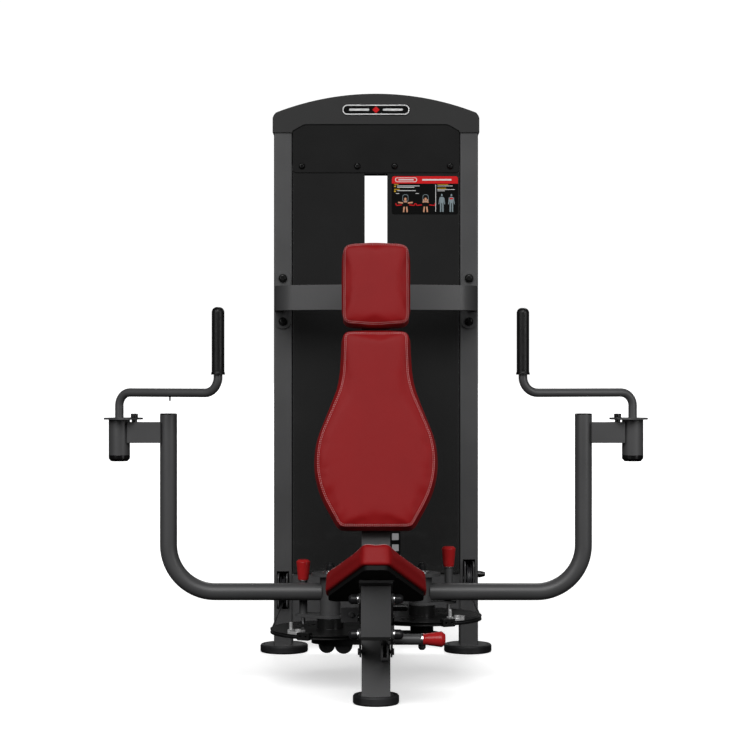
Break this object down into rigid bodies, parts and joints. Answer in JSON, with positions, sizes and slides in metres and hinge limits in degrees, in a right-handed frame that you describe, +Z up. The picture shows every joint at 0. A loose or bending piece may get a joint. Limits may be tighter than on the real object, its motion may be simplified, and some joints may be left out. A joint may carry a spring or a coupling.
{
  "type": "pec deck machine",
  "caption": "Pec deck fly machine: weight-stack tower, swinging arms with swivel handles on low cams, red back, head and seat pads, adjustable tilted seat.",
  "frame": {"origin": "on the floor at the middle of the machine's plan (bounding box bottom centre)", "axes": "+Z up; -Y towards the side the user faces; +X to the right of someone looking at the front"},
  "size_m": [1.5897, 1.4203, 1.834],
  "materials": {
    "badge_print": "raised plate with a pale border",
    "black_plastic": "matt moulded plastic",
    "black_rubber": "matt moulded rubber",
    "board": "black stained plywood",
    "cable": "steel rope in a dark clear jacket",
    "cam_paint": "dark satin powder coat on turned steel",
    "cast_plate": "black painted weight plates",
    "chrome_rod": "ground and chromed steel",
    "cover_paint": "fine satin powder coat, near black",
    "frame_paint": "fine satin powder coat, dark graphite",
    "placard_print": "printed sheet with a red header",
    "pulley_plastic": "glass filled nylon",
    "red_plastic": "glossy red knob on a steel rod",
    "red_vinyl": "soft upholstery vinyl with seams",
    "smoked_panel": "glossy dark sheet"
  },
  "bodies": {
    "frame": {"back_column": "frame_paint", "backrest_pad": "red_vinyl", "band_stay": "frame_paint", "base_beam": "frame_paint", "bottom_crossbeam": "frame_paint", "button_bolts": "black_plastic", "cable_drops": "cable", "cable_runs": "cable", "cover_badge": "badge_print", "curved_band": "frame_paint", "feet": "black_rubber", "front_panel_left": "smoked_panel", "front_panel_right": "smoked_panel", "guide_rods": "chrome_rod", "header_plates": "cover_paint", "headrest_pad": "red_vinyl", "hub_shafts": "black_plastic", "lower_pivot_beam": "frame_paint", "pad_boards": "board", "placard": "placard_print", "pulley_mounts": "frame_paint", "rear_panels": "smoked_panel", "seat_rear_bolts": "black_plastic", "stack_bumpers": "black_rubber", "top_cover": "cover_paint", "top_crossbeam": "frame_paint", "top_pivot_plate": "frame_paint", "upright_left": "frame_paint", "upright_right": "frame_paint", "weight_plates_resting": "cast_plate"},
    "stack": {"head_plate": "cast_plate", "weight_plates_selected": "cast_plate"},
    "stack_pin": {"selector_pin": "red_plastic"},
    "seat_lower_links": {"lower_links": "frame_paint"},
    "seat_upper_links": {"upper_links": "frame_paint"},
    "seat": {"seat_bracket": "frame_paint", "seat_board": "board", "seat_pad": "red_vinyl", "seat_front_bolts": "black_plastic"},
    "seat_lock": {"seat_pin": "red_plastic"},
    "low_pulley_left": {"low_pulley_left": "pulley_plastic"},
    "top_pulley_left": {"top_pulley_left": "pulley_plastic"},
    "cam_left": {"cam_left": "cam_paint", "cable_wrap_left": "cable"},
    "arm_left": {"arm_frame_left": "frame_paint", "arm_caps_left": "black_plastic", "lever_plate_left": "frame_paint"},
    "handle_left": {"handle_left": "frame_paint", "grip_left": "black_rubber"},
    "start_pin_left": {"pop_pin_left": "red_plastic"},
    "low_pulley_right": {"low_pulley_right": "pulley_plastic"},
    "top_pulley_right": {"top_pulley_right": "pulley_plastic"},
    "cam_right": {"cam_right": "cam_paint", "cable_wrap_right": "cable"},
    "arm_right": {"arm_frame_right": "frame_paint", "arm_caps_right": "black_plastic", "lever_plate_right": "frame_paint"},
    "handle_right": {"handle_right": "frame_paint", "grip_right": "black_rubber"},
    "start_pin_right": {"pop_pin_right": "red_plastic"}
  },
  "joints": [
    {"name": "stack_lift", "type": "slide", "parent": "frame", "child": "stack", "axis": [0, 0, 1], "range_m": [0, 0.175], "deforming": ["cable_drops"]},
    {"name": "selector_pin_pull", "type": "slide", "parent": "stack", "child": "stack_pin", "axis": [0, -1, 0], "range_m": [0, 0.085]},
    {"name": "low_pulley_left_turn", "type": "hinge", "parent": "frame", "child": "low_pulley_left", "pos_m": [-0.305, 0.59, 0.206], "axis": [-1, 0, 0], "range_deg": [0, 252]},
    {"name": "top_pulley_left_turn", "type": "hinge", "parent": "frame", "child": "top_pulley_left", "pos_m": [-0.225, 0.63, 1.69], "axis": [0, -1, 0], "range_deg": [0, 126]},
    {"name": "arm_left_swing", "type": "hinge", "parent": "frame", "child": "cam_left", "pos_m": [-0.134, -0.082, 0.16], "axis": [0, 0, 1], "range_deg": [0, 59]},
    {"name": "arm_left_start", "type": "hinge", "parent": "cam_left", "child": "arm_left", "pos_m": [-0.134, -0.082, 0.16], "axis": [0, 0, 1], "range_deg": [-30, 15]},
    {"name": "handle_left_swivel", "type": "hinge", "parent": "arm_left", "child": "handle_left", "pos_m": [-0.751, -0.082, 0.78], "axis": [0, 0, 1], "range_deg": [-31.3, 28.7]},
    {"name": "start_pin_left_pull", "type": "slide", "parent": "arm_left", "child": "start_pin_left", "axis": [0, 0, 1], "range_m": [0, 0.012], "stiffness_N_per_m": 600, "springref_m": -0.02},
    {"name": "low_pulley_right_turn", "type": "hinge", "parent": "frame", "child": "low_pulley_right", "pos_m": [0.305, 0.59, 0.245], "axis": [-1, 0, 0], "range_deg": [0, 252]},
    {"name": "top_pulley_right_turn", "type": "hinge", "parent": "frame", "child": "top_pulley_right", "pos_m": [0.225, 0.63, 1.69], "axis": [0, 1, 0], "range_deg": [0, 126]},
    {"name": "arm_right_swing", "type": "hinge", "parent": "frame", "child": "cam_right", "pos_m": [0.134, -0.082, 0.199], "axis": [0, 0, -1], "range_deg": [0, 59]},
    {"name": "arm_right_start", "type": "hinge", "parent": "cam_right", "child": "arm_right", "pos_m": [0.134, -0.082, 0.199], "axis": [0, 0, -1], "range_deg": [-30, 15]},
    {"name": "handle_right_swivel", "type": "hinge", "parent": "arm_right", "child": "handle_right", "pos_m": [0.751, -0.082, 0.78], "axis": [0, 0, -1], "range_deg": [-42.5, 17.5]},
    {"name": "start_pin_right_pull", "type": "slide", "parent": "arm_right", "child": "start_pin_right", "axis": [0, 0, 1], "range_m": [0, 0.012], "stiffness_N_per_m": 600, "springref_m": -0.02},
    {"name": "seat_lift", "type": "hinge", "parent": "frame", "child": "seat_lower_links", "pos_m": [0, -0.34, 0.14], "axis": [-1, 0, 0], "range_deg": [0, 24]},
    {"name": "seat_upper_links_turn", "type": "hinge", "parent": "frame", "child": "seat_upper_links", "pos_m": [0, -0.34, 0.2345], "axis": [-1, 0, 0], "range_deg": [0, 24]},
    {"name": "seat_level", "type": "hinge", "parent": "seat_lower_links", "child": "seat", "pos_m": [0, -0.56, 0.218], "axis": [1, 0, 0], "range_deg": [0, 24]},
    {"name": "seat_pin_pull", "type": "slide", "parent": "seat_lower_links", "child": "seat_lock", "axis": [1, 0, 0], "range_m": [0, 0.02], "stiffness_N_per_m": 600, "springref_m": -0.02}
  ],
  "couplings": [
    {"joint": "low_pulley_left_turn", "follows": "stack_lift", "rad_per_m": 25},
    {"joint": "top_pulley_left_turn", "follows": "stack_lift", "rad_per_m": 12.5},
    {"joint": "arm_left_swing", "follows": "stack_lift", "rad_per_m": 5.848},
    {"joint": "low_pulley_right_turn", "follows": "stack_lift", "rad_per_m": 25},
    {"joint": "top_pulley_right_turn", "follows": "stack_lift", "rad_per_m": 12.5},
    {"joint": "arm_right_swing", "follows": "stack_lift", "rad_per_m": 5.848},
    {"joint": "seat_upper_links_turn", "follows": "seat_lift", "ratio": 1},
    {"joint": "seat_level", "follows": "seat_lift", "ratio": 1}
  ]
}
